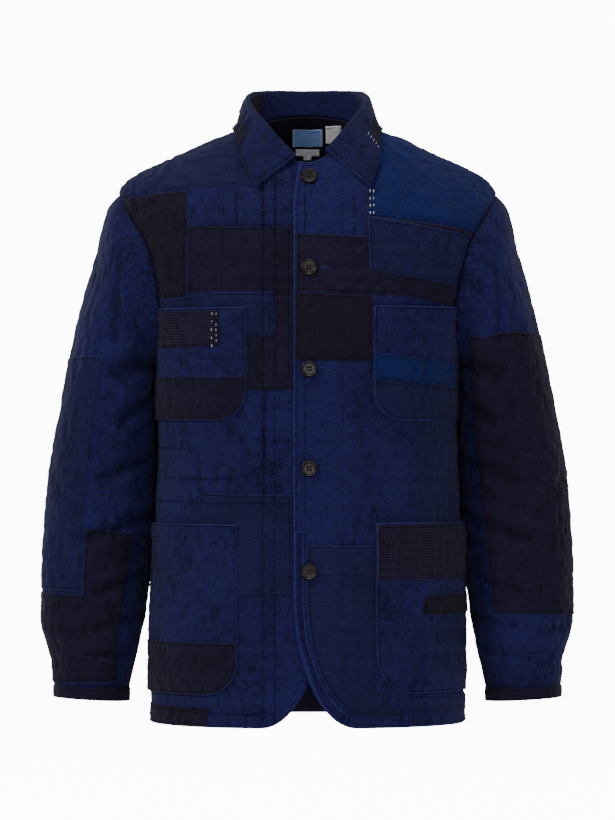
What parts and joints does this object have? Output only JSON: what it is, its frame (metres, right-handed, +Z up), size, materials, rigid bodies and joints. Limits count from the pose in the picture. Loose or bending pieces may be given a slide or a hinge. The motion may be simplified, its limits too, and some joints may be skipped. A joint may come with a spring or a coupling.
{
  "type": "patched boro jacket",
  "caption": "Hip-length work jacket of patched indigo cloth, hollow as worn, with a folded collar, buttoned front, chest and hip patch pockets and long sleeves with narrow cuffs.",
  "frame": {"origin": "middle of the neck, level with where the shoulders meet the collar", "axes": "+Z up, front of the jacket faces -Y, +X is the wearer's left"},
  "size_m": [0.649, 0.3008, 0.7764],
  "materials": {
    "indigo": "crinkled matte cotton",
    "midnight": "near-black matte cotton",
    "brown_black": "brown-black matte cotton",
    "dot_twill": "fine dotted twill",
    "bright_sashiko": "bright indigo diamond weave",
    "dashed": "dark cloth with rows of light dashes",
    "inside": "plain dark cotton",
    "label_blue": "woven label, blank",
    "label_white": "white label, blank",
    "horn": "dark polished button",
    "thread": "cotton thread"
  },
  "bodies": {
    "root": {"front_left": "indigo", "front_right": "indigo", "back": "indigo", "shoulder_patch_right": "dot_twill", "collar_side_patch": "dot_twill", "armhole_patch_right": "brown_black", "chest_patch_right": "midnight", "strip_patch_right": "dot_twill", "belly_patch_right": "dot_twill", "hem_patch_right": "midnight", "shoulder_patch_left": "bright_sashiko", "yoke_patch_left": "dot_twill", "chest_band_left": "midnight", "chest_patch_left": "brown_black", "side_patch_left": "dot_twill", "edge_strip_left": "indigo", "edge_strip_right": "indigo", "skirt_patch_left": "dot_twill", "hem_patch_left": "indigo", "chest_pocket_right": "indigo", "chest_pocket_left": "indigo", "hip_pocket_right": "indigo", "hip_pocket_left": "indigo", "dashed_patch_chest_right": "dashed", "foot_patch_chest_right": "midnight", "band_patch_chest_left": "bright_sashiko", "foot_patch_chest_left": "dot_twill", "foot_patch_hip_right": "midnight", "dashed_patch_hip_left": "dashed", "small_patch_hip_left": "brown_black", "neck_facing": "inside", "hem_facing": "inside", "woven_label": "label_blue", "care_label": "label_white", "size_label": "label_white", "sleeve_right": "indigo", "cuff_right": "midnight", "sleeve_left": "indigo", "cuff_left": "midnight", "elbow_patch_right": "dot_twill", "forearm_patch_right": "midnight", "long_patch_left": "midnight", "collar": "indigo", "collar_dark_patch_right": "midnight", "collar_twill_patch_right": "dot_twill", "collar_stand_patch": "midnight", "collar_dark_patch_left": "midnight", "button_1": "horn", "button_2": "horn", "button_3": "horn", "button_4": "horn", "button_5": "horn"}
  },
  "joints": []
}
